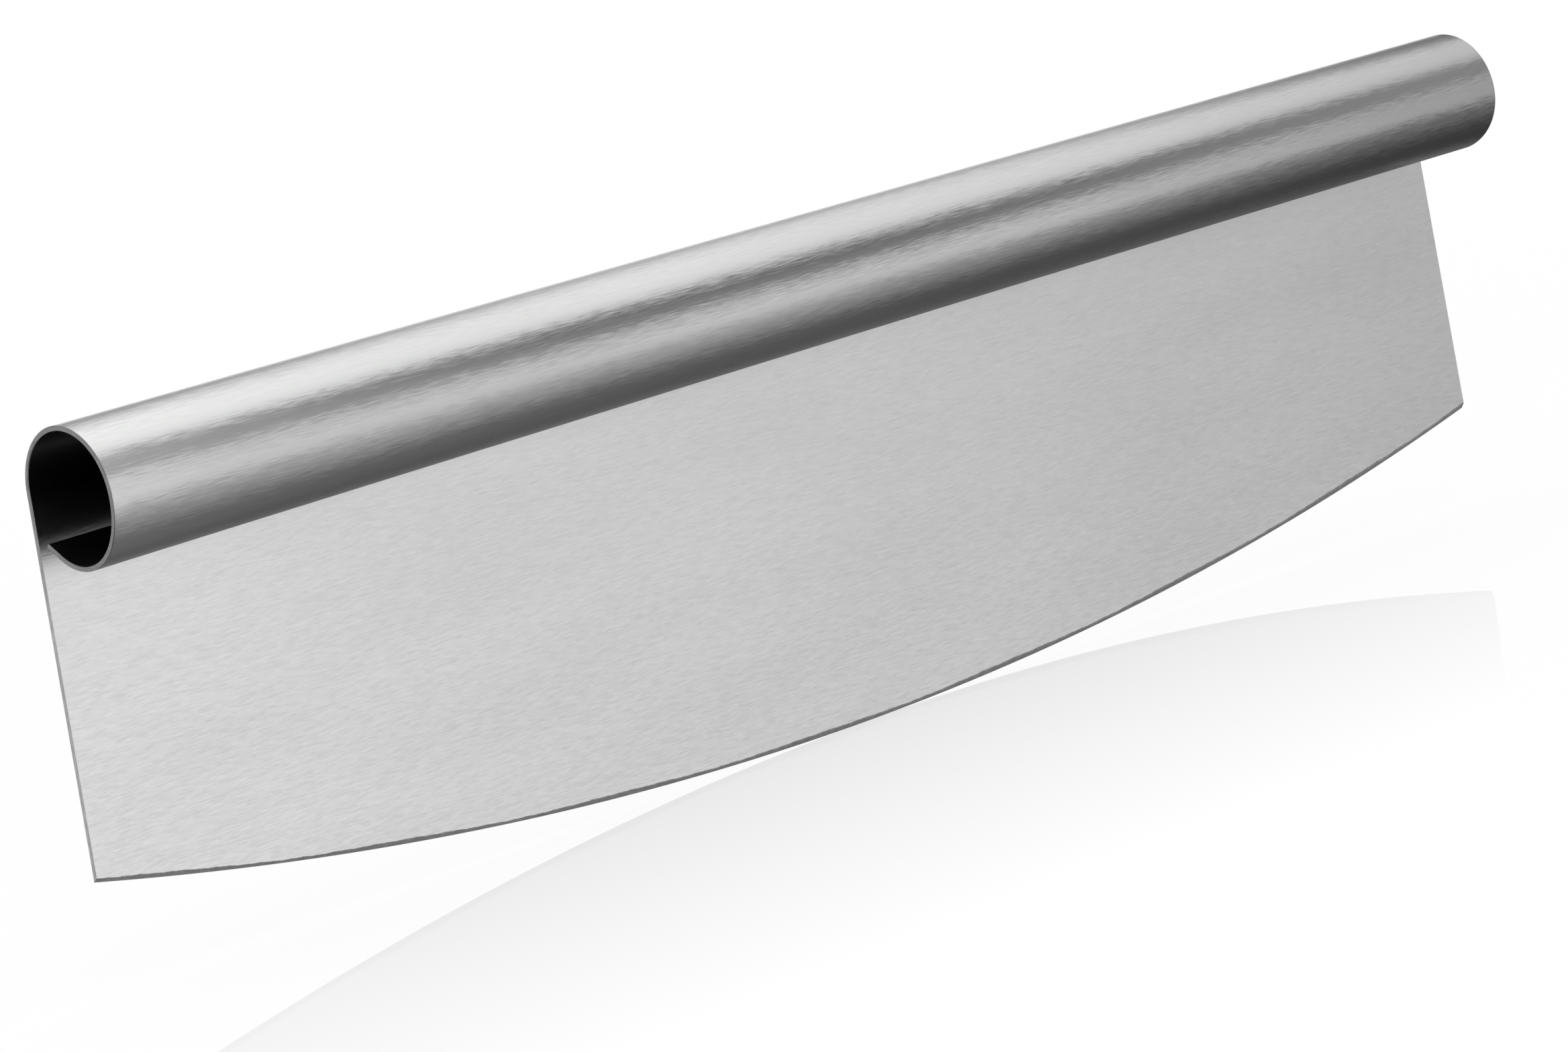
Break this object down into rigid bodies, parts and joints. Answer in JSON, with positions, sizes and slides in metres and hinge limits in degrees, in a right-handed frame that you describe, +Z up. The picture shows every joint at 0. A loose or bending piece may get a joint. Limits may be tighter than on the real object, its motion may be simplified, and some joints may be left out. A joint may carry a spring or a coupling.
{
  "type": "rocking pizza knife",
  "caption": "Rocking knife for pizza: one sheet of brushed stainless steel with a convex ground edge, rolled forward at the top into an open tubular handle.",
  "frame": {"origin": "middle of the base of the bounding box: right under the roll's axis, at the lowest point of the cutting edge", "axes": "+X along the handle, +Y out of the blade's flat back (the roll lies on the -Y side), +Z up from the edge to the handle"},
  "size_m": [0.354, 0.024, 0.0975],
  "materials": {
    "brushed_sheet": "brushed along the length",
    "ground_edge": "ground across the edge"
  },
  "bodies": {
    "root": {"blade": "brushed_sheet", "cutting_edge": "ground_edge", "handle_roll": "brushed_sheet", "handle_lip": "brushed_sheet"}
  },
  "joints": []
}
